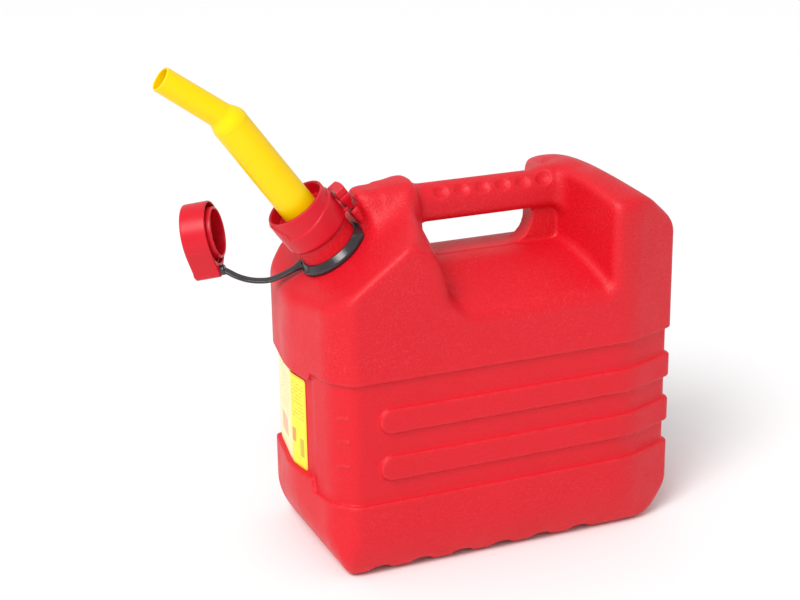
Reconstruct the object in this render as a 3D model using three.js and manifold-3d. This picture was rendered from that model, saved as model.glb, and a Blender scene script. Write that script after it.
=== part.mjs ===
// A ten-litre blow-moulded fuel can with a screw collar, a bent pouring spout and a tethered cap.
// Millimetres, +Z up. The origin is the centre of the base; the spout end is -X, the long sides are +-Y.
import * as THREE from 'three';
import { mergeVertices } from 'three/addons/utils/BufferGeometryUtils.js';
import Module from 'manifold-3d';

const wasm = await Module();
wasm.setup();

// ---------------------------------------------------------------- driving dimensions
const WALL = 2.0;                 // moulded wall of the can
const GAP = 0.3;                  // clearance between pieces that touch
const HALF_LENGTH = 157;          // centre to either end, at the corners
const END_BULGE = 11;             // the spout end bows out by this much at its middle
const HALF_WIDTH = 86;
const BAND_TOP = 66.8;            // top of the heavy bottom band
const WAIST_TOP = 170;            // top of the recessed waist on the long sides
const WAIST_TOP_END = 162;        // and on the spout end
const WAIST_DEPTH = 3.3;
const FOOT_HALF_WIDTH = 73.7;
const FOOT_BEVEL = 27;            // height of the bevel along the foot of each long side
const MAIN_TOP = 207;             // the lower body, under the ridge and the two blocks
const FLANK_TOP = 216;            // where the slopes under the handle meet the long sides
const CREST = 244.6;              // top of the ridge under the handle
const CREST_HALF_WIDTH = 20;
const SHOULDER = { y: 56, z: 236 };  // where the slope beside the crest steepens
const HANDLE = { bottom: 273.6, top: 304, halfWidth: 15.5, chamfer: 4 };
const HAND_HOLE = { left: -55, right: 52, corner: 10, webHalfWidth: 9 };
const REAR_BLOCK_TOP = 309.7;
const NOSE_TOP = 306.5;
const NECK = { x: -122.9, z: 256.6, tilt: THREE.MathUtils.degToRad(36) };
const THREAD_PITCH = 4;
const NECK_THREAD = { root: 21.3, crest: 22.9, start: 24.6, turns: 2.1, width: 1.5 };
const COLLAR_THREAD = { root: 23.5, crest: 21.85, turns: 1.1 };
const COLLAR = { bottom: 22, step: 44, rim: 54.5, outer: 26, band: 27.2, mouth: 23 };
const CAP_THREAD = { radius: 27.1, pitch: 5.6, width: 2.4, turns: 1.15 };
const SPOUT = { lower: 14.9, upper: 10.7, wall: 1.7, flangeZ: 38.3, bendZ: 146.1, upperLength: 61.5 };
const MERGE = 0.01;               // slivers smaller than this are merged away
const SPOUT_BEND = THREE.MathUtils.degToRad(18.6);
const RING = { inner: 24.9, outer: 30, bottom: 0.7, shoulder: 3.2, top: 8.2 };
const CAP = { radius: 27.4, depth: 21.7, wall: 1.6, hingeOffset: 31.4, barrel: 5.5, bore: 3.1 };

// ---------------------------------------------------------------- solids
function toSolid(geometry) {
  const plain = geometry.clone();
  plain.deleteAttribute('normal');
  plain.deleteAttribute('uv');
  const merged = mergeVertices(plain, 1e-4);
  const mesh = new wasm.Mesh({
    numProp: 3,
    vertProperties: new Float32Array(merged.attributes.position.array),
    triVerts: new Uint32Array(merged.index.array),
  });
  return new wasm.Manifold(mesh);
}

function toGeometry(solid) {
  const mesh = solid.simplify(MERGE).getMesh();
  const geometry = new THREE.BufferGeometry();
  geometry.setAttribute('position', new THREE.BufferAttribute(new Float32Array(mesh.vertProperties), 3));
  geometry.setIndex(new THREE.BufferAttribute(new Uint32Array(mesh.triVerts), 1));
  geometry.computeVertexNormals();
  return geometry;
}

const joinAll = (solids) => solids.reduce((sum, solid) => sum.add(solid));
const X = new THREE.Vector3(1, 0, 0);
const Y = new THREE.Vector3(0, 1, 0);
const Z = new THREE.Vector3(0, 0, 1);

function extrude(points, from, to, basis) {
  const shape = new THREE.Shape(points.map(([a, b]) => new THREE.Vector2(a, b)));
  const geometry = new THREE.ExtrudeGeometry(shape, { depth: to - from, bevelEnabled: false });
  geometry.translate(0, 0, from);
  geometry.applyMatrix4(basis);
  return toSolid(geometry);
}

// a plan outline (x, y) between two heights
const prismZ = (points, z0, z1) => extrude(points, z0, z1, new THREE.Matrix4());

// a side outline (x, z), running from -halfWidth to +halfWidth along Y
const prismY = (points, halfWidth) =>
  extrude(points, -halfWidth, halfWidth, new THREE.Matrix4().makeBasis(X, Z, Y.clone().negate()));

// a cross-section (y, z) between two places along X
const prismX = (points, x0, x1) => extrude(points, x0, x1, new THREE.Matrix4().makeBasis(Y, Z, X));

function box(low, high) {
  const size = high.map((value, i) => value - low[i]);
  const geometry = new THREE.BoxGeometry(...size);
  geometry.translate(...low.map((value, i) => value + size[i] / 2));
  return toSolid(geometry);
}

// a turned piece: the profile is a closed loop of (radius, height) pairs about Z
function turned(profile, segments = 48) {
  const points = profile.map(([r, z]) => new THREE.Vector2(Math.max(r, 0), z));
  const onAxis = points[0].x === 0 && points.at(-1).x === 0;
  if (!onAxis) points.push(points[0].clone());
  const geometry = new THREE.LatheGeometry(points, segments);
  geometry.rotateX(Math.PI / 2);
  const solid = toSolid(geometry);
  if (solid.volume() > 0) return solid;
  return turned([...profile].reverse(), segments);
}

const ring = (inner, outer, z0, z1, segments) =>
  turned([[inner, z0], [outer, z0], [outer, z1], [inner, z1]], segments);

// moves every edge of a convex outline inwards
function inset(points, distance) {
  if (distance === 0) return points;
  const area = points.reduce((sum, [ax, ay], i) => {
    const [bx, by] = points[(i + 1) % points.length];
    return sum + ax * by - bx * ay;
  }, 0);
  const side = Math.sign(area);
  const lines = points.map(([ax, ay], i) => {
    const [bx, by] = points[(i + 1) % points.length];
    const length = Math.hypot(bx - ax, by - ay);
    const [nx, ny] = [(-side * (by - ay)) / length, (side * (bx - ax)) / length];
    return [nx, ny, nx * ax + ny * ay + distance];
  });
  return lines.map(([nx, ny, d], i) => {
    const [mx, my, e] = lines[(i + lines.length - 1) % lines.length];
    const det = nx * my - ny * mx;
    return [(d * my - ny * e) / det, (nx * e - d * mx) / det];
  });
}

// everything above the plane through three points, less a margin
function beyondPlane(a, b, c, margin) {
  const [from, along, across] = [a, b, c].map((point) => new THREE.Vector3(...point));
  const u = along.sub(from).normalize();
  const normal = new THREE.Vector3().crossVectors(u, across.sub(from)).normalize();
  if (normal.z < 0) normal.negate();
  const basis = new THREE.Matrix4().makeBasis(u, new THREE.Vector3().crossVectors(normal, u), normal);
  const geometry = new THREE.BoxGeometry(240, 240, 80);
  geometry.translate(0, 0, 40 - margin);
  geometry.applyMatrix4(basis.setPosition(from));
  return toSolid(geometry);
}

// a strip of rectangular section wound up a cylinder
function thread(rootRadius, crestRadius, start, pitch, width, turns, segmentsPerTurn = 24) {
  const steps = Math.round(turns * segmentsPerTurn);
  const positions = [];
  const index = [];
  for (let i = 0; i <= steps; i += 1) {
    const angle = (i / segmentsPerTurn) * 2 * Math.PI;
    const z = start + (pitch * i) / segmentsPerTurn;
    const taper = Math.min(1, i / 3, (steps - i) / 3);
    const crest = rootRadius + (crestRadius - rootRadius) * (0.15 + 0.85 * taper);
    const corners = [[rootRadius, -width / 2], [crest, -width / 4], [crest, width / 4], [rootRadius, width / 2]];
    corners.forEach(([r, dz]) => positions.push(r * Math.cos(angle), r * Math.sin(angle), z + dz));
  }
  for (let i = 0; i < steps; i += 1) {
    for (let j = 0; j < 4; j += 1) {
      const [a, b] = [4 * i + j, 4 * i + ((j + 1) % 4)];
      index.push(a, b, b + 4, a, b + 4, a + 4);
    }
  }
  const last = 4 * steps;
  index.push(0, 2, 1, 0, 3, 2, last, last + 1, last + 2, last, last + 2, last + 3);
  if (crestRadius < rootRadius) {
    for (let i = 0; i < index.length; i += 3) [index[i], index[i + 1]] = [index[i + 1], index[i]];
  }
  const geometry = new THREE.BufferGeometry();
  geometry.setAttribute('position', new THREE.Float32BufferAttribute(positions, 3));
  geometry.setIndex(index);
  return toSolid(geometry);
}

// ---------------------------------------------------------------- materials
const plastic = (color, roughness) => new THREE.MeshStandardMaterial({ color, roughness, metalness: 0 });
const redMatte = plastic(0xd8242f, 0.55);
const redSatin = plastic(0xcf1f33, 0.4);
const yellow = plastic(0xf6d800, 0.35);
const black = plastic(0x26242a, 0.5);
const paper = plastic(0xf1e7a8, 0.6);

function piece(name, solid, material) {
  const mesh = new THREE.Mesh(toGeometry(solid), material);
  mesh.name = name;
  return mesh;
}

// ---------------------------------------------------------------- the neck's own frame
const neckFrame = new THREE.Matrix4().makeRotationY(-NECK.tilt).setPosition(NECK.x, 0, NECK.z);
const seatSlope = Math.tan(NECK.tilt);
const seatHeight = (x) => NECK.z + (x - NECK.x) * seatSlope;
const inNeckFrame = (solid) => solid.transform(neckFrame.elements);

// a point given across (towards the handle) and along the neck, as (x, z) of the can
const neckPoint = (across, along) => [
  NECK.x + across * Math.cos(NECK.tilt) - along * Math.sin(NECK.tilt),
  NECK.z + across * Math.sin(NECK.tilt) + along * Math.cos(NECK.tilt),
];

// ---------------------------------------------------------------- can body
const PLAN = [
  [-HALF_LENGTH - END_BULGE, 0], [-HALF_LENGTH, -67], [-141, -HALF_WIDTH], [107, -HALF_WIDTH],
  [HALF_LENGTH, -66], [HALF_LENGTH, 66], [107, HALF_WIDTH], [-141, HALF_WIDTH], [-HALF_LENGTH, 67],
];
const MAIN_SIDE = [
  [-158, 0], [133, 0], [HALF_LENGTH, 24], [HALF_LENGTH, MAIN_TOP], [-168, MAIN_TOP], [-168, 10],
];
const MAIN_SECTION = [
  [-FOOT_HALF_WIDTH, 0], [FOOT_HALF_WIDTH, 0], [HALF_WIDTH, FOOT_BEVEL], [HALF_WIDTH, 230],
  [-HALF_WIDTH, 230], [-HALF_WIDTH, FOOT_BEVEL],
];
const FOOT = { pitch: 36.8, first: -134.6, width: 23, count: 7, depth: 5, innerEdge: 26 };

function crownedSection(top, edge, flatHalfWidth, low) {
  return [
    [-HALF_WIDTH, low], [HALF_WIDTH, low], [HALF_WIDTH, edge], [flatHalfWidth, top],
    [-flatHalfWidth, top], [-HALF_WIDTH, edge],
  ];
}

// the ridge under the handle, between the two blocks
function ridgeSection() {
  const slope = [[HALF_WIDTH, FLANK_TOP], [SHOULDER.y, SHOULDER.z], [CREST_HALF_WIDTH, CREST]];
  const mirrored = slope.map(([y, z]) => [-y, z]).reverse();
  return [[-HALF_WIDTH, 120], [HALF_WIDTH, 120], ...slope, ...mirrored];
}

// the block that carries the neck, cut off along the sloping seat
function frontBlock(wall) {
  const side = [
    [-168, 120], [-46, 120], [-46, MAIN_TOP], [-55, 235], [-64, 262], [-66, seatHeight(-66)],
    [-168, seatHeight(-168)],
  ];
  const corners = [-1, 1].map((sign) => beyondPlane(
    [-90, sign * HALF_WIDTH, 280.5], [-66, sign * 30, 300], [-62, sign * HALF_WIDTH, 262], wall,
  ));
  return prismY(inset(side, wall), HALF_WIDTH + 1).subtract(joinAll(corners));
}

// the ridge from the handle to the neck, ending in a wall parallel to the neck
function nose(wall) {
  const side = [
    neckPoint(38, -14), neckPoint(38, 30), [-105, NOSE_TOP], [-56, NOSE_TOP], [-56, 250],
  ];
  const section = [[-24, 230], [24, 230], [24, 285], [17, NOSE_TOP], [-17, NOSE_TOP], [-24, 285]];
  return prismY(inset(side, wall), 30).intersect(prismX(inset(section, wall), -130, -50));
}

// the rear block, its front wall splayed outwards on either side of the handle
function rearBlock(wall) {
  const side = [
    [40, 120], [HALF_LENGTH, 120], [HALF_LENGTH, 262], [152, 269], [102, REAR_BLOCK_TOP],
    [62, REAR_BLOCK_TOP], [40, 290],
  ];
  const plan = [[77, -15], [90, -HALF_WIDTH], [160, -HALF_WIDTH], [160, HALF_WIDTH], [90, HALF_WIDTH], [77, 15]];
  return prismY(inset(side, wall), 90)
    .intersect(prismZ(inset(plan, wall), 100, 320))
    .intersect(prismX(inset(crownedSection(REAR_BLOCK_TOP, 290, 30, 100), wall), 0, 170));
}

// the tongue of the rear block's crown that runs out over the handle
function crownTongue(wall) {
  const side = [[50, 290], [110, 290], [110, REAR_BLOCK_TOP], [61, REAR_BLOCK_TOP], [54, HANDLE.top]];
  return prismY(inset(side, wall), 14 - wall);
}

function handleBar(wall) {
  const { bottom, top, halfWidth, chamfer } = HANDLE;
  const section = [
    [-halfWidth + chamfer, bottom], [halfWidth - chamfer, bottom], [halfWidth, bottom + chamfer],
    [halfWidth, top - 2 * chamfer], [halfWidth - 2 * chamfer, top], [-halfWidth + 2 * chamfer, top],
    [-halfWidth, top - 2 * chamfer], [-halfWidth, bottom + chamfer],
  ];
  return prismX(inset(section, wall), -80, 90);
}

// the flat web at each end of the hand hole
function handleWeb(wall) {
  const { left, right, corner, webHalfWidth } = HAND_HOLE;
  const outline = [
    [left - wall, HANDLE.bottom + 2], [left - wall, CREST + corner], [left + 0.3 * corner, CREST + 0.3 * corner],
    [left + corner, CREST - wall], [right - corner, CREST - wall], [right - 0.3 * corner, CREST + 0.3 * corner],
    [right + wall, CREST + corner], [right + wall, HANDLE.bottom + 2],
  ];
  const plate = box([-70, -webHalfWidth + wall, CREST - 20], [80, webHalfWidth - wall, HANDLE.bottom + 12]);
  return plate.subtract(prismY(outline, 40));
}

function footGrooves(wall) {
  const grooves = [];
  for (let i = 0; i < FOOT.count - 1; i += 1) {
    const centre = FOOT.first + FOOT.pitch * (i + 0.5);
    const half = (FOOT.pitch - FOOT.width) / 2 + wall;
    [-1, 1].forEach((sign) => {
      const [near, far] = [FOOT.innerEdge - wall, HALF_WIDTH + 5];
      const [y0, y1] = sign < 0 ? [-far, -near] : [near, far];
      grooves.push(box([centre - half, y0, -5], [centre + half, y1, FOOT.depth + wall]));
    });
  }
  return joinAll(grooves);
}

// the waist: everything between the bottom band and the upper body, less the two ribs that stand out
function waistCut(wall) {
  const outside = prismZ(inset(PLAN, -20), BAND_TOP - wall, WAIST_TOP + wall);
  const core = prismZ(inset(PLAN, WAIST_DEPTH + wall), 0, 300);
  const endLip = box([-200, -90, WAIST_TOP_END + wall], [-141, 90, WAIST_TOP + 10]);
  const ribs = [[85.5, 106.5], [126, 147]].map(([z0, z1]) =>
    box([-119 + wall, -100, z0 + wall], [200, 100, z1 - wall]));
  const pads = [-1, 1].map((sign) => {
    const [y0, y1] = sign < 0 ? [-90, -64] : [64, 90];
    return box([-200, y0, BAND_TOP - 5], [-128, y1, WAIST_TOP + 5]);
  });
  const padSkin = prismZ(inset(PLAN, 1.2 + wall), 0, 300);
  return outside.subtract(core).subtract(endLip).subtract(joinAll(ribs))
    .subtract(joinAll(pads).intersect(padSkin));
}

// the can's shape, with every face moved in by the wall
function canShape(wall) {
  const main = prismY(inset(MAIN_SIDE, wall), 100).intersect(prismX(inset(MAIN_SECTION, wall), -170, 170));
  const ridge = prismX(inset(ridgeSection(), wall), -80, 110);
  const upper = joinAll([
    main, ridge, frontBlock(wall), rearBlock(wall), crownTongue(wall), nose(wall), handleBar(wall),
  ]);
  return upper.intersect(prismZ(inset(PLAN, wall), -10, 330)).subtract(waistCut(wall)).subtract(footGrooves(wall));
}

function lug() {
  return box([29.6, -7, 6], [44, 7, 19]);
}

function canBody() {
  const neckOutside = turned([
    [0, -12], [26, -12], [26, 0.2], [24.5, 0.5], [24.5, 21.4], [NECK_THREAD.root, 22.4],
    [NECK_THREAD.root, 36], [0, 36],
  ]);
  const bore = turned([[0, -14], [22.3, -14], [22.3, 19], [18.8, 24], [18.8, 40], [0, 40]]);
  const { root, crest, start, turns, width } = NECK_THREAD;
  const neckThread = thread(root - 0.4, crest, start, THREAD_PITCH, width, turns);
  const neckPiece = neckOutside.add(neckThread).add(lug());
  return canShape(0)
    .add(handleWeb(0))
    .add(inNeckFrame(neckPiece))
    .subtract(canShape(WALL))
    .subtract(inNeckFrame(bore));
}

// ---------------------------------------------------------------- pieces on the neck, in its frame
function spoutCollar() {
  const { bottom, step, rim, outer, band, mouth } = COLLAR;
  const shell = turned([
    [COLLAR_THREAD.root, bottom], [outer - 0.6, bottom], [band, bottom + 1.5], [band, step], [outer, step + 0.5],
    [outer - 0.8, rim], [mouth, rim], [mouth - 0.6, 43.6], [15.6, 43.2], [15.6, 40.6], [COLLAR_THREAD.root, 40.6],
  ]);
  const inner = thread(
    COLLAR_THREAD.root + 0.4, COLLAR_THREAD.crest, NECK_THREAD.start + 1.5 * THREAD_PITCH,
    THREAD_PITCH, NECK_THREAD.width, COLLAR_THREAD.turns,
  );
  const { radius, pitch, width, turns } = CAP_THREAD;
  const outside = thread(outer - 1, radius, step + 2.3, pitch, width, turns, 24);
  const bridge = ring(24.5, 30.9, bottom, 24.5, 64).intersect(box([20, -8, 0], [40, 8, 60]));
  return shell.add(inner).add(outside).add(bridge);
}

// the sprung finger that stands beside the collar on the handle side
function lockTab() {
  const plate = ring(31.3, 35.6, 20.3, 46.5, 64).intersect(box([26, -9, 0], [40, 9, 60]));
  const foot = box([33, -7, 20.3], [37.4, 7, 25]);
  const lip = ring(30.4, 36.4, 42.5, 46.5, 64).intersect(box([26, -8, 0], [40, 8, 60]));
  return plate.add(foot).add(lip);
}

const spoutSeal = () => ring(17, 22.4, 36.3, 38, 48);

// a tube of changing radius swept along the spout's bent axis
function spoutSkin(offset, startZ, extra) {
  const { lower, upper, bendZ, upperLength } = SPOUT;
  const dome = [];
  for (let i = 0; i <= 5; i += 1) {
    const angle = (i / 5) * (Math.PI / 2);
    dome.push([Math.max((lower - offset) * Math.cos(angle), 0), bendZ - 5 + (lower - offset - 1) * Math.sin(angle)]);
  }
  dome[dome.length - 1][0] = 0;
  const lowerTube = turned([[0, startZ], [lower - offset, startZ], ...dome], 40);
  const length = upperLength + extra;
  const upperTube = turned([
    [0, -6], [upper - offset, -6], [upper - offset, length - 1], [upper - offset - (extra ? 0 : 0.7), length],
    [0, length],
  ], 36);
  const bend = new THREE.Matrix4().makeRotationY(-SPOUT_BEND).setPosition(0, 0, bendZ);
  return lowerTube.add(upperTube.transform(bend.elements));
}

function spout() {
  const { flangeZ, wall } = SPOUT;
  const flange = turned([[0, flangeZ], [22.2, flangeZ], [22.2, flangeZ + 2], [0, flangeZ + 2]], 48);
  return spoutSkin(0, flangeZ, 0).add(flange).subtract(spoutSkin(wall, flangeZ - 4, 5));
}

// ---------------------------------------------------------------- tether and cap
const CAP_HINGE = new THREE.Vector3(-215.2, 49, 236.6);
const CAP_FACING = new THREE.Vector3(0.853, -0.483, 0.2).normalize();
const CAP_UP = new THREE.Vector3(0.038, 0.3675, 0.929);
CAP_UP.addScaledVector(CAP_FACING, -CAP_UP.dot(CAP_FACING)).normalize();
const capFrame = new THREE.Matrix4()
  .makeBasis(new THREE.Vector3().crossVectors(CAP_UP, CAP_FACING), CAP_UP, CAP_FACING)
  .setPosition(CAP_HINGE);

// the strap's middle line, from the ring to the cap's hinge barrel
const STRAP_ROUTE = [
  [-148.6, 12.1, 243.9], [-154.8, 14.5, 240.2], [-161.4, 17.3, 236.4], [-170.8, 21.6, 232.2], [-179.9, 26.3, 231.3],
  [-188, 31, 232.2], [-195.5, 35.2, 234.9], [-199.9, 39, 237.3], [-203.7, 42.5, 239.3],
];

function tetherStrap() {
  const route = new THREE.CatmullRomCurve3(STRAP_ROUTE.map((point) => new THREE.Vector3(...point)));
  const [halfWidth, halfThickness] = [3.1, 1.25];
  const section = new THREE.Shape();
  section.moveTo(-halfThickness, -halfWidth);
  section.lineTo(halfThickness, -halfWidth);
  section.lineTo(halfThickness, halfWidth);
  section.lineTo(-halfThickness, halfWidth);
  const strip = toSolid(new THREE.ExtrudeGeometry(section, { steps: 22, extrudePath: route }));
  const pin = turned([
    [0, -8.6], [2, -8.6], [3.3, -7.2], [3.3, -6], [2.5, -5], [2.5, 10.6], [4.4, 11.4], [4.4, 14.6], [0, 15],
  ], 24);
  return strip.add(pin.transform(capFrame.elements));
}

const tetherRing = () => {
  const { inner, outer, bottom, shoulder, top } = RING;
  return turned([[inner, bottom], [outer, bottom], [outer, shoulder], [inner + 0.7, top], [inner, top]], 56);
};

// the cap's own frame: Z is its axis towards the open side, and the hinge barrel runs along Z through the origin
function screwCap() {
  const { radius, depth, wall, hingeOffset, barrel, bore } = CAP;
  const [back, front] = [-depth / 2, depth / 2];
  const centred = (solid) => solid.translate(0, hingeOffset, 0);
  const disc = centred(turned([
    [0, back], [radius - 2, back], [radius, back + 2], [radius, front - 1.4], [radius - 0.6, front], [0, front],
  ], 56));
  const hollow = centred(turned([
    [0, back + 2.2], [radius - wall - 0.6, back + 2.2], [radius - wall, front - 4], [radius - wall, front + 1],
    [0, front + 1],
  ], 56));
  const plugRing = centred(ring(19.4, 21.2, back + 1, front + 3, 48));
  const boss = centred(turned([[0, back - 3.6], [6.4, back - 3.6], [7.4, back - 2.6], [7.4, back + 1], [0, back + 1]], 32));
  const web = prismZ([
    [-4.6, 1], [4.6, 1], [16, 11], [-16, 11],
  ], back, front - 0.5).add(turned([[0, back - 0.6], [barrel - 0.8, back - 0.6], [barrel, back + 0.4],
    [barrel, front], [0, front]], 28));
  const pinBore = turned([
    [0, back + 1.4], [3.9, back + 1.4], [3.9, back + 5.6], [bore, back + 6.6], [bore, front + 1], [0, front + 1],
  ], 24);
  return disc.add(web).subtract(hollow).add(plugRing).add(boss).subtract(pinBore);
}

const capSeal = () => ring(21.6, 24.9, -CAP.depth / 2 + 2.5, -CAP.depth / 2 + 4, 48)
  .translate(0, CAP.hingeOffset, 0);

// ---------------------------------------------------------------- label on the spout end
function label() {
  const depth = WAIST_DEPTH - GAP;
  const [low, high] = [78, 158];
  const outer = prismZ(inset(PLAN, depth - 0.4), low, high);
  const inner = prismZ(inset(PLAN, depth), low - 1, high + 1);
  return outer.subtract(inner).intersect(box([-200, -24, low - 2], [-140, 57, high + 2]));
}

// ---------------------------------------------------------------- assembly
const can = new THREE.Group();
can.add(piece('can_body', canBody(), redMatte));
can.add(piece('label', label(), paper));

const neckGroup = new THREE.Group();
neckGroup.position.set(NECK.x, 0, NECK.z);
neckGroup.rotation.y = -NECK.tilt;
neckGroup.add(piece('spout_collar', spoutCollar(), redSatin));
neckGroup.add(piece('lock_tab', lockTab(), redSatin));
neckGroup.add(piece('spout_seal', spoutSeal(), black));
neckGroup.add(piece('spout', spout(), yellow));
neckGroup.add(piece('tether_ring', tetherRing(), black));
can.add(neckGroup);
can.add(piece('tether_strap', tetherStrap(), black));

const capGroup = new THREE.Group();
capGroup.applyMatrix4(capFrame);
capGroup.add(piece('screw_cap', screwCap(), redSatin));
capGroup.add(piece('cap_seal', capSeal(), black));
can.add(capGroup);

export default can;
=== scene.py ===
import math

import bmesh
import bpy
import numpy as np
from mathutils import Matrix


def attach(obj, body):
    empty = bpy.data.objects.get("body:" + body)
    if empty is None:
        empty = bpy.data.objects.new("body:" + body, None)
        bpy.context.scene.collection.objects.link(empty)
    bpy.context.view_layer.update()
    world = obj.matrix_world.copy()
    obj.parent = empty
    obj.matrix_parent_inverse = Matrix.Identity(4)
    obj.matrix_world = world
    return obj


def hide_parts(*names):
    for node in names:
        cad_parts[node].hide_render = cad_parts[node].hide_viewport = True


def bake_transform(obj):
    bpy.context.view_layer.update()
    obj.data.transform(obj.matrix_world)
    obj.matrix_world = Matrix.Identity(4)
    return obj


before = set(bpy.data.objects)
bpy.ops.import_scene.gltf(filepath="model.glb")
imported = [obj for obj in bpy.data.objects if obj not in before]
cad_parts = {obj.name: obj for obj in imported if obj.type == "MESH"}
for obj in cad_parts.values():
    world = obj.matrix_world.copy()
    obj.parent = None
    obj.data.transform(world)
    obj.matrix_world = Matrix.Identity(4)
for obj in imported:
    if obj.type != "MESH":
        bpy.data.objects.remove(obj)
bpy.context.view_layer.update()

import openvdb
from mathutils import Matrix, Vector

MM = 0.001

# ---------------------------------------------------------------- the neck's own frame, in millimetres
TILT = math.radians(36)
NECK = np.array([-122.9, 0.0, 256.6])
ACROSS = np.array([math.cos(TILT), 0.0, math.sin(TILT)])
SIDE = np.array([0.0, 1.0, 0.0])
ALONG = np.array([-math.sin(TILT), 0.0, math.cos(TILT)])
IDENTITY = (np.zeros(3), np.eye(3))
NECK_FRAME = (NECK, np.stack([ACROSS, SIDE, ALONG]))

CAP_HINGE = np.array([-215.2, 49.0, 236.6])
CAP_FACING = np.array([0.853, -0.483, 0.2])
CAP_FACING /= np.linalg.norm(CAP_FACING)
CAP_UP = np.array([0.038, 0.3675, 0.929])
CAP_UP -= CAP_FACING * (CAP_UP @ CAP_FACING)
CAP_UP /= np.linalg.norm(CAP_UP)
CAP_FRAME = (CAP_HINGE, np.stack([np.cross(CAP_UP, CAP_FACING), CAP_UP, CAP_FACING]))


# ---------------------------------------------------------------- distance fields
def smax(a, b, r):
    h = np.maximum(r - np.abs(a - b), 0)
    return np.maximum(a, b) + h * h / (4 * r)


def smin(a, b, r):
    return -smax(-a, -b, r)


def plane2(u, v, a, b):
    """Distance beyond the line from a to b, positive to its right."""
    du, dv = b[0] - a[0], b[1] - a[1]
    return ((u - a[0]) * dv - (v - a[1]) * du) / math.hypot(du, dv)


def convex(u, v, points, r):
    """A convex outline given anticlockwise, with soft corners."""
    field = None
    for a, b in zip(points, points[1:] + points[:1]):
        d = plane2(u, v, a, b)
        field = d if field is None else smax(field, d, r)
    return field


def plane3(x, y, z, a, b, c):
    a, b, c = (np.array(p, float) for p in (a, b, c))
    n = np.cross(b - a, c - a)
    n /= np.linalg.norm(n) * np.sign(n[2])
    return (x - a[0]) * n[0] + (y - a[1]) * n[1] + (z - a[2]) * n[2]


def grid_axes(low, high, step):
    axes = [np.arange(lo, hi + step, step, dtype=np.float32) for lo, hi in zip(low, high)]
    return axes[0][:, None, None], axes[1][None, :, None], axes[2][None, None, :]


def field_mesh(name, field, low, step, place=IDENTITY):
    """The zero surface of a distance field as a smooth mesh of quads."""
    grid = openvdb.FloatGrid(4 * step)
    grid.copyFromArray(np.clip(field, -4 * step, 4 * step).astype(np.float32))
    points, quads = grid.convertToQuads(0.0)
    points = np.asarray(points, float) * step + np.array(low, float)
    origin, basis = place
    return build(name, points @ basis + origin, np.asarray(quads)[:, ::-1])


def build(name, points, faces):
    """An object from points in millimetres, shaded smooth, with its faces turned outwards."""
    mesh = bpy.data.meshes.new(name)
    mesh.from_pydata((np.asarray(points, float) * MM).tolist(), [], [list(map(int, f)) for f in faces])
    mesh.validate()
    work = bmesh.new()
    work.from_mesh(mesh)
    bmesh.ops.recalc_face_normals(work, faces=work.faces)
    if work.calc_volume(signed=True) < 0:
        bmesh.ops.reverse_faces(work, faces=work.faces)
    work.to_mesh(mesh)
    work.free()
    mesh.polygons.foreach_set("use_smooth", [True] * len(mesh.polygons))
    thing = bpy.data.objects.new(name, mesh)
    bpy.context.scene.collection.objects.link(thing)
    return thing


# ---------------------------------------------------------------- can body
PLAN = [
    (-168, 0), (-157, -67), (-141, -86), (107, -86), (157, -66),
    (157, 66), (107, 86), (-141, 86), (-157, 67),
]


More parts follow.
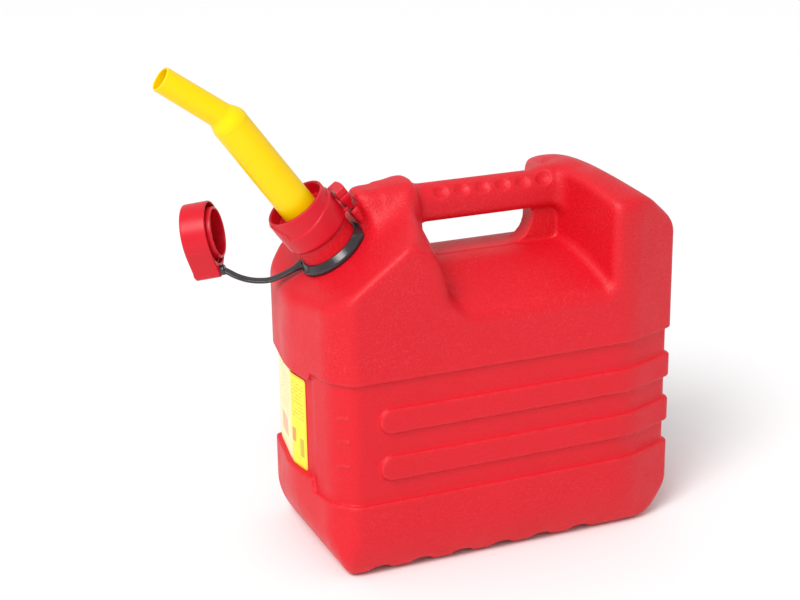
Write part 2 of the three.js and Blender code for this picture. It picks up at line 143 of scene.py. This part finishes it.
def can_field(x, y, z):
    ay = np.abs(y)
    plan = convex(x, y, PLAN, 5)

    # lower part: flat base, chamfers at both ends, bevels along both feet
    main = smax(-z, plane2(x, z, (133, 0), (157, 24)), 10)
    main = smax(main, plane2(x, z, (-168, 44), (-142, 0)), 5)
    main = smax(main, plane2(ay, z, (73.7, 0), (86, 27)), 9)
    main = np.maximum(smax(main, plan, 8), z - 207)

    # ridge under the handle
    ridge = smax(z - 244.6, plane2(ay, z, (56, 236), (20, 244.6)), 3)
    ridge = smax(ridge, plane2(ay, z, (86, 216), (56, 236)), 12)
    ridge = np.maximum(smax(ridge, plan, 9), np.maximum(np.maximum(-78 - x, x - 100), 120 - z))

    # front block with the sloping seat
    seat = (z - NECK[2]) * ALONG[2] + (x - NECK[0]) * ALONG[0]
    recess = smin(x + 65, plane2(x, z, (-46, 207), (-64, 262)), 16)
    corner = plane3(x, ay, z, (-90, 86, 280.5), (-66, 30, 300), (-62, 86, 262))
    front = smax(smax(seat, corner, 7), plan, 7)
    front = np.maximum(smax(front, recess, 15), 120 - z)

    # nose from the handle towards the neck
    nose = 38 - ((x - NECK[0]) * ACROSS[0] + (z - NECK[2]) * ACROSS[2])
    nose = smax(nose, z - 306.5, 14)
    flank = smax(ay - 23, plane2(ay, z, (23, 285), (16, 306.5)), 10)
    nose = np.maximum(smax(nose, flank, 10), x + 62)

    # handle
    bar = smax(smax(ay - 15.5, z - 304, 8), (ay + z - 312) / math.sqrt(2), 7)
    bar = smax(bar, 273.6 - z, 9)
    bar = np.maximum(bar, np.maximum(-78 - x, x - 90))

    # rear block
    face = plane2(x, ay, (90, 86), (77, 15.5))
    face = smin(face, np.maximum(smax(63 - x, ay - 8, 6), 301 - z), 4)
    crown = smax(z - 309.7, plane2(ay, z, (86, 290), (30, 309.7)), 14)
    crown = smax(crown, plane2(x, z, (106, 309.7), (64, 304.4)), 4)
    slope = plane2(x, z, (152.5, 269), (105, 309.7))
    rear = smax(smax(smax(crown, slope, 12), plan, 9), face, 9)
    rear = np.maximum(rear, 120 - z)

    # webs at the two ends of the hand hole
    hole = np.maximum(smax(np.abs(x + 1.5) - 53.5, 244.6 - z, 26), z - 290)
    web = np.maximum(np.maximum(ay - 9, np.abs(z - 259) - 18), np.maximum(-hole, np.abs(x - 4) - 80))

    for line in (12.5, 17.5):
        ridge = smax(ridge, 0.5 - np.hypot(ay - line, z - 244.9), 0.3)

    body = smin(smin(ridge, front, 12), rear, 9)
    body = smin(body, nose, 24)
    body = smin(body, bar, 11)
    body = smin(body, web, 2.5)
    body = np.minimum(body, main)
    body = np.maximum(body, plan)

    # finger dimples along both upper edges of the handle
    for i in range(6):
        dimple = np.sqrt((x + 33.2 - 18.6 * i) ** 2 + (ay - 17.6) ** 2 + (z - 303.1) ** 2) - 10.2
        body = smax(body, -dimple, 0.6)

    # waist with two ribs, and the panel on the spout end
    end = np.clip((-132 - x) / 10, 0, 1)
    panel = smooth_step(y, -41, -34) * smooth_step(-y, -70, -66) * end
    low = 66.8 + 10.2 * panel
    high = 170 - 8 * panel
    floor = plan + 3.3 + 1.2 * panel
    allowed = smin(floor, z - low, 2)
    allowed = smin(allowed, high - z, 2)
    for middle in (96, 136.5):
        rib = np.abs(z - middle) - 10.5
        start = np.hypot(np.minimum(x + 108.5, 0), z - middle) - 10.5
        rib = np.maximum(rib, start)
        allowed = smin(allowed, rib, 2.4)
    body = smax(body, allowed, 1.8)

    # three plain raised graduation lines on the corner pad
    for height in (101, 121.5, 142):
        along = (x + 149) * 0.644 + (-76.5 - y) * 0.765
        tick = smax(np.abs(along) - 5.5, np.abs(z - height) - 1.3, 0.6)
        tick = np.maximum(np.maximum(tick, plan + 2.1), np.maximum(y + 60, x + 132))
        body = smin(body, tick, 0.8)

    # gaps between the feet
    for i in range(6):
        cx = -134.6 + 36.8 * (i + 0.5)
        gap = smax(smax(np.abs(x - cx) - 8.4, z - 5.6, 7), 27 - ay, 5)
        body = smax(body, -gap, 4)

    # neck band, lug and the blind bore
    s = (x - NECK[0]) * ALONG[0] + (z - NECK[2]) * ALONG[2]
    across = (x - NECK[0]) * ACROSS[0] + (z - NECK[2]) * ACROSS[2]
    radial = np.sqrt(across**2 + y**2)
    neck = smax(radial - 24.5, np.maximum(s - 21.4, -12 - s), 1.6)
    body = smin(body, neck, 3)
    lug = smax(smax(np.abs(across - 37) - 7.4, ay - 7, 3), np.abs(s - 12.5) - 6.5, 3)
    body = smin(body, lug, 2.5)
    bore = np.maximum(radial - 20.4, np.maximum(-8 - s, s - 60))
    return np.maximum(body, -bore)


def make_can():
    step = 1.25
    low, high = (-173, -91, -5), (162, 91, 316)
    field = can_field(*grid_axes(low, high, step))
    return field_mesh("can_shell", field, low, step)


# ---------------------------------------------------------------- turned and swept pieces
def turned(name, profile, place, segments=160, shape=None, closed=True):
    """Turns (radius, height) pairs about the frame's axis. shape(angle, radius, height) may move them."""
    profile = np.array(profile, float)
    angles = np.linspace(0, 2 * math.pi, segments, endpoint=False)
    rows = []
    for angle in angles:
        r, h = profile[:, 0].copy(), profile[:, 1].copy()
        if shape:
            r, h = shape(angle, r, h)
        rows.append(np.stack([r * math.cos(angle), r * math.sin(angle), h], 1))
    count = len(profile)
    points = np.concatenate(rows)
    faces = []
    spans = count if closed else count - 1
    for i in range(segments):
        j = (i + 1) % segments
        for k in range(spans):
            m = (k + 1) % count
            faces.append((i * count + k, j * count + k, j * count + m, i * count + m))
    origin, basis = place
    return build(name, points @ basis + origin, faces)


def rounded(points, radii, steps=5):
    """A closed outline with each corner rounded by its radius."""
    points = [np.array(p, float) for p in points]
    out = []
    for i, p in enumerate(points):
        a, b = points[i - 1], points[(i + 1) % len(points)]
        r = radii[i] if hasattr(radii, "__len__") else radii
        ua, ub = (a - p) / np.linalg.norm(a - p), (b - p) / np.linalg.norm(b - p)
        cut = min(r, 0.45 * np.linalg.norm(a - p), 0.45 * np.linalg.norm(b - p))
        if cut < 1e-4:
            out.append(p)
            continue
        for k in range(steps + 1):
            t = k / steps
            out.append((1 - t) ** 2 * (p + ua * cut) + 2 * t * (1 - t) * p + t * t * (p + ub * cut))
    return out


def smooth_step(value, a, b):
    t = np.clip((value - a) / (b - a), 0, 1)
    return t * t * (3 - 2 * t)


# ---------------------------------------------------------------- materials
def colour(r, g, b):
    return tuple(((c / 255 + 0.055) / 1.055) ** 2.4 if c > 10 else c / 255 / 12.92 for c in (r, g, b)) + (1,)


class Nodes:
    """A small helper that adds and links shader nodes."""

    def __init__(self, name):
        self.material = bpy.data.materials.new(name)
        self.material.use_nodes = True
        self.tree = self.material.node_tree
        self.shader = self.tree.nodes["Principled BSDF"]
        self.place = self.add("ShaderNodeTexCoord").outputs["Object"]

    def add(self, kind, inputs=None, **settings):
        node = self.tree.nodes.new(kind)
        for key, value in settings.items():
            setattr(node, key, value)
        for key, value in (inputs or {}).items():
            if isinstance(value, bpy.types.NodeSocket):
                self.tree.links.new(value, node.inputs[key])
            else:
                node.inputs[key].default_value = value
        return node

    def noise(self, scale, detail=2.0, roughness=0.5):
        settings = {"Vector": self.place, "Scale": scale, "Detail": detail, "Roughness": roughness}
        return self.add("ShaderNodeTexNoise", settings).outputs["Fac"]

    def remap(self, value, a, b, c, d):
        sockets = {"Value": value, "From Min": a, "From Max": b, "To Min": c, "To Max": d}
        node = self.add("ShaderNodeMapRange", sockets)
        return node.outputs["Result"]

    def math(self, operation, a, b=0.0):
        return self.add("ShaderNodeMath", {0: a, 1: b}, operation=operation).outputs[0]

    def mix(self, factor, a, b):
        node = self.add("ShaderNodeMix", data_type="RGBA")
        for key, value in (("Factor", factor), (6, a), (7, b)):
            socket = node.inputs[key] if key != "Factor" else node.inputs[0]
            if isinstance(value, bpy.types.NodeSocket):
                self.tree.links.new(value, socket)
            else:
                socket.default_value = value
        return node.outputs[2]

    def set(self, **values):
        for key, value in values.items():
            socket = self.shader.inputs[key.replace("_", " ")]
            if isinstance(value, bpy.types.NodeSocket):
                self.tree.links.new(value, socket)
            else:
                socket.default_value = value

    def bump(self, height, strength, distance, normal=None):
        inputs = {"Height": height, "Strength": strength, "Distance": distance}
        if normal is not None:
            inputs["Normal"] = normal
        return self.add("ShaderNodeBump", inputs).outputs["Normal"]


def moulded(name, base, dark, worn, roughness, grain, depth, edge=0.25, glow=0.0, mottle=0.0, shine=0.5):
    """Moulded plastic: uneven colour, rubbed edges, fine stipple and broad moulding unevenness."""
    n = Nodes(name)
    cloud = n.remap(n.noise(9, 3), 0.3, 0.7, 0, 1)
    tint = n.mix(n.math("MULTIPLY", cloud, 0.35), base, dark)
    point = n.add("ShaderNodeNewGeometry").outputs["Pointiness"]
    worn_edge = n.remap(point, 0.505, 0.56, 0, edge)
    rub = n.math("MULTIPLY", worn_edge, n.remap(n.noise(160, 4), 0.35, 0.65, 0.2, 1))
    tint = n.mix(rub, tint, worn)
    fine = n.noise(grain, 2, 0.6)
    if mottle:
        height = n.add("ShaderNodeSeparateXYZ", {"Vector": n.place}).outputs["Z"]
        upper = n.remap(height, 0.168, 0.185, 0.35, 1)
        lower = n.remap(height, 0.055, 0.068, 0.4, 0)
        patch = n.math("MULTIPLY", n.math("ADD", upper, lower), n.remap(n.noise(14, 2), 0.35, 0.65, 0.6, 1.1))
        speck = n.math("MULTIPLY", n.remap(fine, 0.52, 0.7, 0, mottle), patch)
        tint = n.mix(speck, tint, worn)
        pit = n.math("MULTIPLY", n.remap(fine, 0.48, 0.3, 0, mottle), patch)
        tint = n.mix(pit, tint, dark)
    cells = n.add("ShaderNodeTexVoronoi", {"Vector": n.place, "Scale": grain * 1.25}).outputs["Distance"]
    stipple = n.math("ADD", fine, n.math("MULTIPLY", cells, 0.5))
    broad = n.bump(n.noise(22, 2), 0.12, 0.002)
    normal = n.bump(stipple, 1.0, depth, broad)
    rough = n.math("ADD", n.remap(n.noise(45, 3), 0.3, 0.7, -0.05, 0.05), roughness)
    n.set(Base_Color=tint, Roughness=rough, Normal=normal)
    n.set(IOR=1.5, Specular_IOR_Level=shine)
    if glow:
        n.set(Subsurface_Weight=glow, Subsurface_Radius=(1.0, 0.25, 0.2), Subsurface_Scale=0.004)
    return n.material


body_red = moulded(
    "body_red", base=colour(214, 14, 33), dark=colour(196, 6, 22), worn=colour(238, 92, 100),
    roughness=0.46, grain=620, depth=0.00036, edge=0.22, mottle=0.16, shine=0.32,
)
red_satin = moulded(
    "fitting_red", base=colour(208, 12, 36), dark=colour(190, 4, 24), worn=colour(236, 84, 100),
    roughness=0.34, grain=900, depth=0.00004, edge=0.3, shine=0.34,
)
yellow = moulded(
    "spout_yellow", base=colour(250, 214, 0), dark=colour(248, 196, 0), worn=colour(255, 232, 60),
    roughness=0.3, grain=700, depth=0.00003, edge=0.2, shine=0.22,
)
black = moulded(
    "tether_black", base=colour(44, 40, 44), dark=colour(32, 29, 32), worn=colour(110, 106, 108),
    roughness=0.24, grain=800, depth=0.00004, edge=0.35,
)
liner = moulded(
    "liner_grey", base=colour(196, 190, 180), dark=colour(176, 170, 160), worn=colour(220, 216, 208),
    roughness=0.6, grain=900, depth=0.00006, edge=0.1,
)


def label_film():
    """A plain two-colour film with a border, ruled lines and blank blocks of tint."""
    n = Nodes("label_film")
    axes = n.add("ShaderNodeSeparateXYZ", {"Vector": n.place}).outputs
    across, height = axes["Y"], axes["Z"]

    def band(value, low, high):
        above = n.math("GREATER_THAN", value, low)
        return n.math("MULTIPLY", above, n.math("LESS_THAN", value, high))

    def block(y0, y1, z0, z1):
        return n.math("MULTIPLY", band(across, y0, y1), band(height, z0, z1))

    tint = n.mix(n.math("GREATER_THAN", across, 0.0045), colour(252, 226, 40), colour(250, 236, 176))
    rows = n.math("PINGPONG", height, 0.0016)
    ruled = n.math("MULTIPLY", n.math("LESS_THAN", rows, 0.00042), block(-0.0205, 0.001, 0.119, 0.151))
    ruled2 = n.math("MULTIPLY", n.math("LESS_THAN", rows, 0.0004), block(0.010, 0.050, 0.112, 0.151))
    speckle = n.add("ShaderNodeTexNoise", {"Vector": n.place, "Scale": 240.0})
    ragged = n.remap(speckle.outputs["Fac"], 0.38, 0.5, 0, 1)
    ink = n.math("MULTIPLY", n.math("MULTIPLY", n.math("ADD", ruled, ruled2), ragged), 0.55)
    tint = n.mix(ink, tint, colour(150, 120, 40))
    tint = n.mix(n.math("MULTIPLY", block(-0.006, 0.001, 0.098, 0.110), 0.75), tint, colour(222, 96, 92))
    tint = n.mix(n.math("MULTIPLY", block(0.020, 0.046, 0.092, 0.108), 0.6), tint, colour(232, 130, 120))
    tint = n.mix(n.math("MULTIPLY", block(-0.0195, -0.013, 0.088, 0.104), 0.55), tint, colour(150, 124, 60))
    inner = block(-0.0225, 0.0555, 0.0795, 0.1565)
    edge = block(-0.0232, 0.0562, 0.0788, 0.1572)
    line = n.math("MULTIPLY", n.math("SUBTRACT", edge, inner), 0.5)
    tint = n.mix(line, tint, colour(170, 130, 30))
    n.set(Base_Color=tint, Roughness=n.remap(n.noise(60, 3), 0.3, 0.7, 0.32, 0.5))
    n.set(Normal=n.bump(n.noise(120, 2), 0.25, 0.0002), IOR=1.5)
    return n.material


def finish_piece(thing, material, body, slot, *nodes):
    thing.data.materials.clear()
    thing.data.materials.append(material)
    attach(thing, body)
    if nodes:
        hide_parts(*nodes)
    return thing


# ---------------------------------------------------------------- threads
def ridge_at(angle, height, start, pitch, turns, width):
    """How far up the flank of a helical ridge a point lies, 0 to 1."""
    best = np.zeros_like(height)
    for turn in range(-1, int(turns) + 2):
        travelled = angle / (2 * math.pi) + turn
        if not 0 <= travelled <= turns:
            continue
        taper = min(1, travelled / 0.05, (turns - travelled) / 0.05)
        gap = np.abs(height - start - pitch * travelled) / (width / 2)
        best = np.maximum(best, taper * smooth_step(-gap, -1.15, -0.55))
    return best


def refine(profile, longest):
    """Adds points along a closed profile so that no step is longer than this."""
    out = []
    for a, b in zip(profile, profile[1:] + profile[:1]):
        a, b = np.array(a, float), np.array(b, float)
        count = max(1, math.ceil(np.linalg.norm(b - a) / longest))
        out += [a + (b - a) * k / count for k in range(count)]
    return out


# ---------------------------------------------------------------- neck finish and collar
def neck_shape(angle, r, h):
    outside = (r > 21) & (h > 23)
    return r + np.where(outside, 1.5 * ridge_at(angle, h, 24.6, 4, 2.1, 1.5), 0), h


def make_neck():
    corners = [(18.8, 36), (18.8, 0), (20.9, 0), (20.9, 21), (21.3, 22.4), (21.3, 36)]
    profile = rounded(corners, [0.6, 0.1, 0.1, 0.1, 0.4, 0.8])
    return turned("neck_finish", refine(profile, 0.5), NECK_FRAME, 200, neck_shape)


BAND_EDGE = [
    (-150, 39.3), (-104, 40), (-85, 41.4), (-64, 43.6), (-30, 45.6),
    (60, 48.5), (150, 51.5), (186, 53), (200, 49), (210, 44.6),
]


def collar_shape(angle, r, h):
    """The thick band round the collar ends in a ramp that climbs once round it, and a thread runs inside."""
    turn = math.degrees(angle)
    if turn > 210:
        turn -= 360
    edge = np.interp(turn, *zip(*BAND_EDGE))
    outside = r > 25
    above = smooth_step(h, edge - 0.5, edge + 0.5)
    thinner = np.where(outside, 1.25 * above, 0)
    inside = (r < 24) & (r > 23.2) & (h < 40)
    inner = np.where(inside, 1.6 * ridge_at(angle, h, 30.6, 4, 1.1, 1.5), 0)
    return r - thinner - inner, h


def make_collar():
    outline = [
        (23.5, 22), (26.2, 22), (27.2, 24), (27.5, 44), (27.3, 54.5),
        (23.6, 54.5), (22.6, 43.4), (15.6, 43.2),
        (15.6, 40.6), (23.5, 40.6),
    ]
    radii = [0.4, 0.7, 2, 2, 0.9, 0.9, 1.4, 0.5, 0.4, 0.8]
    return turned("collar", refine(rounded(outline, radii, 6), 0.7), NECK_FRAME, 240, collar_shape)


def make_tab():
    """The sprung finger: a thick block with a rounded top that narrows down to its root on the collar."""
    step = 0.5
    low, high = (26, -12, 18), (43, 12, 46)
    x, y, z = grid_axes(low, high, step)
    radial = np.sqrt(x * x + y * y)
    half = 9.8 - 2.6 * smooth_step(41 - z, 8, 20)
    outer = 38.8 - 3.4 * smooth_step(41 - z, 9, 19)
    inner = 29.7 + 1.6 * smooth_step(41 - z, 8, 19)
    block = smax(smax(radial - outer, inner - radial, 1.5), smax(np.abs(y) - half, z - 41.6, 1.6), 1.4)
    block = np.maximum(block, 21 - z)
    step_line = smax(np.abs(z - 35) - 0.45, smin(half - 0.7 - np.abs(y), outer - 0.6 - radial, 0.4), 0.3)
    field = smax(block, -step_line, 0.4)
    return field_mesh("tab", field, low, step, NECK_FRAME)


def make_bridge():
    step = 0.4
    low, high = (24, -9, 20), (33, 9, 28)
    x, y, z = grid_axes(low, high, step)
    radial = np.sqrt(x * x + y * y)
    bar = smax(np.abs(y) - 7.6, np.abs(z - 23.4) - 1.3, 0.8)
    field = smax(np.maximum(25.4 - radial, radial - 31.2), bar, 0.8)
    return field_mesh("collar_bridge", field, low, step, NECK_FRAME)


# ---------------------------------------------------------------- spout
def cone(x, z, y, start, direction, r0, r1, length):
    """A straight tube that narrows evenly: its outside's distance field, and how far along a point is."""
    dx, dz = direction
    along = (x - start[0]) * dx + (z - start[1]) * dz
    off = (x - start[0]) * dz - (z - start[1]) * dx
    radial = np.sqrt(off * off + y * y)
    return radial - (r0 + (r1 - r0) * np.clip(along / length, 0, 1)), along


def make_spout():
    step = 0.55
    low, high = (-40, -24, 36), (24, 24, 212)
    x, y, z = grid_axes(low, high, step)
    bend = math.radians(18.6)
    lower, _ = cone(x, z, y, (0, 38.3), (0, 1), 15.1, 14.7, 100)
    upper, s1 = cone(x, z, y, (0, 146.1), (-math.sin(bend), math.cos(bend)), 10.9, 10.3, 61.5)
    dome = np.sqrt(x * x + y * y + ((z - 140.5) * 1.12) ** 2) - 14.7
    outside = smin(np.maximum(lower, z - 140.5), np.maximum(dome, 140 - z), 0.6)
    outside = np.maximum(outside, 38.3 - z)
    tube = smax(upper, s1 - 61.5, 1.2)
    outside = smin(outside, np.maximum(tube, -8 - s1), 3.2)
    inner_dome = np.sqrt(x * x + y * y + ((z - 140.5) * 1.12) ** 2) - 13.0
    inside = np.minimum(np.maximum(lower + 1.7, z - 140.5), np.maximum(inner_dome, 140 - z))
    inside = np.minimum(inside, np.maximum(upper + 1.6, -8 - s1))
    flange = smax(np.sqrt(x * x + y * y) - 22.2, np.abs(z - 39.3) - 1.0, 0.7)
    field = smax(smin(outside, flange, 1.5), -inside, 0.5)
    return field_mesh("spout_tube", field, low, step, NECK_FRAME)


# ---------------------------------------------------------------- tether
STRAP = [
    (-146.3, 11.3, 245.4), (-154.8, 14.5, 240.2), (-161.4, 17.3, 236.4),
    (-170.8, 21.6, 232.2), (-179.9, 26.3, 231.3), (-188, 31, 232.2),
    (-195.5, 35.2, 234.9), (-199.9, 39, 237.3), (-203.7, 42.5, 239.3),
]


def spline(points, count):
    """A smooth curve through the points, evenly stepped by parameter."""
    points = [np.array(p, float) for p in points]
    padded = [2 * points[0] - points[1], *points, 2 * points[-1] - points[-2]]
    out = []
    for k in range(count + 1):
        t = k / count * (len(points) - 1)
        i = min(int(t), len(points) - 2)
        t -= i
        p0, p1, p2, p3 = padded[i : i + 4]
        square = 2 * p0 - 5 * p1 + 4 * p2 - p3
        cube = 3 * p1 - p0 - 3 * p2 + p3
        out.append(0.5 * (2 * p1 + (p2 - p0) * t + square * t**2 + cube * t**3))
    return np.array(out)


def swept(name, centres, widths, heights, up):
    """A strap of rounded section along a line. up says which way its flat side faces."""
    section = rounded([(-1, -1), (1, -1), (1, 1), (-1, 1)], 0.5, 5)
    rows = []
    for i, c in enumerate(centres):
        ahead = centres[min(i + 1, len(centres) - 1)] - centres[max(i - 1, 0)]
        ahead /= np.linalg.norm(ahead)
        out = np.cross(ahead, up)
        out /= np.linalg.norm(out)
        top = np.cross(out, ahead)
        rows.append([c + out * p[0] * widths[i] / 2 + top * p[1] * heights[i] / 2 for p in section])
    count = len(section)
    faces = [
        (i * count + k, i * count + (k + 1) % count, (i + 1) * count + (k + 1) % count, (i + 1) * count + k)
        for i in range(len(rows) - 1)
        for k in range(count)
    ]
    faces += [tuple(range(count))[::-1], tuple((len(rows) - 1) * count + k for k in range(count))]
    return build(name, np.concatenate(rows), faces)


def ring_shape(angle, r, h):
    """The ring has a pointed ear towards the front of the handle side."""
    turn = math.degrees(angle)
    turn = turn - 360 if turn > 180 else turn
    ear = 2.2 * max(0, 1 - abs(turn + 40) / 14) ** 1.2
    return r + ear * np.clip((r - 26) / 3, 0, 1), h


def make_ring():
    corners = [(24.9, 0.7), (30, 0.7), (30, 3.2), (25.7, 8.2), (24.9, 8.2)]
    profile = rounded(corners, [0.3, 0.8, 1.6, 0.6, 0.2], 6)
    return turned("ring", refine(profile, 1.2), NECK_FRAME, 200, ring_shape)


def make_strap():
    centres = spline(STRAP, 90)
    t = np.linspace(0, 1, len(centres))
    widths = 6.4 + 4 * np.clip(1 - t / 0.12, 0, 1) ** 2
    heights = 2.7 + 2.5 * np.clip(1 - t / 0.1, 0, 1)
    return swept("strap", centres, widths, heights, np.array([0.2, -0.35, 1.0]))


def make_pin():
    profile = [
        (0.02, -8.6), (2, -8.6), (3.2, -7.2), (3.2, -6), (2.5, -5),
        (2.5, 10.6), (4.4, 11.4), (4.4, 14.4), (3.6, 15), (0.02, 15),
    ]
    return turned("strap_pin", rounded(profile, 0.35, 3), CAP_FRAME, 48)


# ---------------------------------------------------------------- cap
def make_cap():
    """The cap: a smooth skirt that runs into the hinge barrel, a raised plug ring, and a boss behind."""
    step = 0.42
    low, high = (-30, -8, -16), (30, 61, 16)
    x, y, z = grid_axes(low, high, step)
    back, front = -10.85, 10.85
    radial = np.sqrt(x * x + (y - 31.4) ** 2)
    barrel_radial = np.sqrt(x * x + y * y)
    disc = smax(radial - 26.85, np.abs(z) - front, 1.6)

    # the web between the skirt and the barrel has straight sides that touch both circles
    side = plane2(np.abs(x), y, (4.01, -3.77), (19.68, 12.91))
    web = smax(np.maximum(side, np.maximum(y - 15, -3 - y)), np.abs(z) - front, 1.2)
    web = np.maximum(web, 26.1 - radial)
    barrel = smax(barrel_radial - 5.5, np.abs(z) - front, 1.4)
    shell = smin(np.minimum(disc, web), barrel, 1.5)

    hollow = np.maximum(radial - 25.3, back + 2.2 - z)
    turn = (np.arctan2(y - 31.4, x) / (2 * math.pi)) % 1.0
    for start in (0, 1):
        gap = np.abs(z + 4.5 - 5.6 * (turn + start)) - 1.1
        hollow = np.maximum(hollow, -np.maximum(gap, 24.6 - radial))
    shell = smax(shell, -hollow, 0.7)
    plug = smax(np.abs(radial - 20.3) - 1.0, np.maximum(z - front - 3, back + 1 - z), 0.9)
    inner = smax(np.abs(radial - 13.6) - 0.8, np.maximum(z - 2.6, back + 1 - z), 0.8)
    boss = smax(radial - 7.3, np.abs(z + 12) - 2.4, 1.2)
    field = smin(smin(shell, plug, 1), smin(inner, boss, 1.5), 1)

    # hollow web between the skirt and the barrel, open on the same side as the cap
    pocket = np.maximum(side + 2, np.maximum(y - 8, 7.2 - y))
    field = smax(field, -np.maximum(np.maximum(pocket, 28.2 - radial), -2 - z), 0.6)
    bore = np.minimum(barrel_radial - 3.1, smax(barrel_radial - 3.9, np.abs(z + 7.4) - 2.2, 0.3))
    bore = np.maximum(bore, -9.4 - z)
    field = smax(field, -bore, 0.4)
    return field_mesh("cap", field, low, step, CAP_FRAME)


def make_cap_seal():
    profile = rounded([(21.6, -8.35), (24.9, -8.35), (24.9, -6.85), (21.6, -6.85)], 0.5, 4)
    centre = CAP_FRAME[0] + CAP_UP * 31.4
    return turned("cap_liner", profile, (centre, CAP_FRAME[1]), 120)


def make_seal():
    profile = rounded([(17, 36.3), (22.4, 36.3), (22.4, 38), (17, 38)], 0.6, 4)
    return turned("gasket", profile, NECK_FRAME, 120)


# ---------------------------------------------------------------- label (the graduation ticks are raised in can_field)
def end_wall_x(y, depth):
    """Where the spout end's wall is, this deep below its plan outline."""
    slope = 11 / 67
    return -168 + np.abs(y) * slope + depth * math.hypot(1, slope)


def make_label():
    """A thin film that follows the end wall, with rounded corners, a soft crease and a slight ripple."""
    ys, zs = np.linspace(-24, 57, 82), np.linspace(78, 158, 81)
    middle, half, corner = (16.5, 118), (40.5, 40), 3
    points = []
    for layer, depth in ((0, 3.95), (1, 4.25)):
        for y in ys:
            for z in zs:
                dy, dz = y - middle[0], z - middle[1]
                over_y = max(abs(dy) - (half[0] - corner), 0)
                over_z = max(abs(dz) - (half[1] - corner), 0)
                reach = math.hypot(over_y, over_z)
                pull = min(1, corner / reach) if reach > 0 and over_y > 0 and over_z > 0 else 1
                y2 = middle[0] + math.copysign(min(abs(dy), half[0] - corner) + over_y * pull, dy)
                z2 = middle[1] + math.copysign(min(abs(dz), half[1] - corner) + over_z * pull, dz)
                crease = 0.35 * math.exp(-(((y - 5) / 5) ** 2))
                ripple = 0.12 * math.sin(z * 0.21 + y * 0.05) * math.sin(y * 0.13)
                points.append((end_wall_x(math.hypot(y2, 2.5), depth) + crease + ripple, y2, z2))
    ny, nz = len(ys), len(zs)

    def at(layer, i, k):
        return layer * ny * nz + i * nz + k

    faces = []
    for i in range(ny - 1):
        for k in range(nz - 1):
            faces.append((at(0, i, k), at(0, i, k + 1), at(0, i + 1, k + 1), at(0, i + 1, k)))
            faces.append((at(1, i, k), at(1, i + 1, k), at(1, i + 1, k + 1), at(1, i, k + 1)))
    rim = [(i, 0) for i in range(ny)] + [(ny - 1, k) for k in range(1, nz)]
    rim += [(i, nz - 1) for i in range(ny - 2, -1, -1)] + [(0, k) for k in range(nz - 2, 0, -1)]
    for (i, k), (i2, k2) in zip(rim, rim[1:] + rim[:1]):
        faces.append((at(0, i, k), at(0, i2, k2), at(1, i2, k2), at(1, i, k)))
    return build("label_sheet", points, faces)


# ---------------------------------------------------------------- put it together
finish_piece(make_can(), body_red, "can", "body_red", "can_body")
finish_piece(make_neck(), body_red, "can", "body_red")
finish_piece(make_label(), label_film(), "can", "label_paper", "label")
finish_piece(make_collar(), red_satin, "collar", "fitting_red", "spout_collar")
finish_piece(make_bridge(), red_satin, "collar", "fitting_red")
finish_piece(make_tab(), red_satin, "tab", "fitting_red", "lock_tab")
finish_piece(make_seal(), black, "seal", "tether_black", "spout_seal")
finish_piece(make_spout(), yellow, "spout", "spout_yellow", "spout")
finish_piece(make_ring(), black, "ring", "tether_black", "tether_ring")
finish_piece(make_pin(), black, "strap", "tether_black")
finish_piece(make_cap(), red_satin, "cap", "fitting_red", "screw_cap")
finish_piece(make_cap_seal(), liner, "cap", "tether_black", "cap_seal")

strap = make_strap()
strap.data.materials.append(black)
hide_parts("tether_strap")
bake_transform(strap)


# ---------------------------------------------------------------- floor, light and camera
def make_floor():
    mesh = bpy.data.meshes.new("floor")
    work = bmesh.new()
    bmesh.ops.create_grid(work, x_segments=1, y_segments=1, size=8)
    work.to_mesh(mesh)
    work.free()
    floor = bpy.data.objects.new("floor", mesh)
    floor.location.z = -0.0004
    bpy.context.scene.collection.objects.link(floor)
    n = Nodes("floor_pale")
    n.set(Base_Color=(0.93, 0.93, 0.93, 1), Roughness=0.9)
    floor.data.materials.append(n.material)


def area_light(name, place, size, power):
    light = bpy.data.lights.new(name, "AREA")
    light.shape, light.size, light.energy = "DISK", size, power
    thing = bpy.data.objects.new(name, light)
    thing.location = place
    thing.rotation_euler = (Vector((-0.02, 0, 0.2)) - Vector(place)).to_track_quat("-Z", "Y").to_euler()
    bpy.context.scene.collection.objects.link(thing)


def sun_light(name, towards, strength, spread):
    light = bpy.data.lights.new(name, "SUN")
    light.energy, light.angle = strength, math.radians(spread)
    thing = bpy.data.objects.new(name, light)
    thing.rotation_euler = (-Vector(towards)).to_track_quat("-Z", "Y").to_euler()
    bpy.context.scene.collection.objects.link(thing)


def make_camera():
    data = bpy.data.cameras.new("camera")
    data.lens, data.sensor_width = 78.83, 36
    data.clip_start, data.clip_end = 0.05, 50
    azimuth, elevation, roll = (math.radians(v) for v in (22.506, 18.739, -0.865))
    right = Vector((math.cos(azimuth), -math.sin(azimuth), 0))
    lean = math.sin(elevation)
    up = Vector((math.sin(azimuth) * lean, math.cos(azimuth) * lean, math.cos(elevation)))
    right, up = right * math.cos(roll) + up * math.sin(roll), up * math.cos(roll) - right * math.sin(roll)
    back = right.cross(up)
    camera = bpy.data.objects.new("camera", data)
    rotation = Matrix((right, up, back)).transposed().to_4x4()
    camera.matrix_world = Matrix.Translation((-0.59363, -1.27450, 0.67418)) @ rotation
    bpy.context.scene.collection.objects.link(camera)
    bpy.context.scene.camera = camera


make_floor()
sun_light("sun", (-0.62, -0.5, 0.85), 1.75, 34)
area_light("key", (-1.1, -1.0, 1.7), 0.7, 9)
world = bpy.data.worlds.new("studio")
world.use_nodes = True
world.node_tree.nodes["Background"].inputs["Color"].default_value = (1, 1, 1, 1)
world.node_tree.nodes["Background"].inputs["Strength"].default_value = 0.66
bpy.context.scene.world = world
bpy.context.scene.view_settings.view_transform = "Standard"
make_camera()
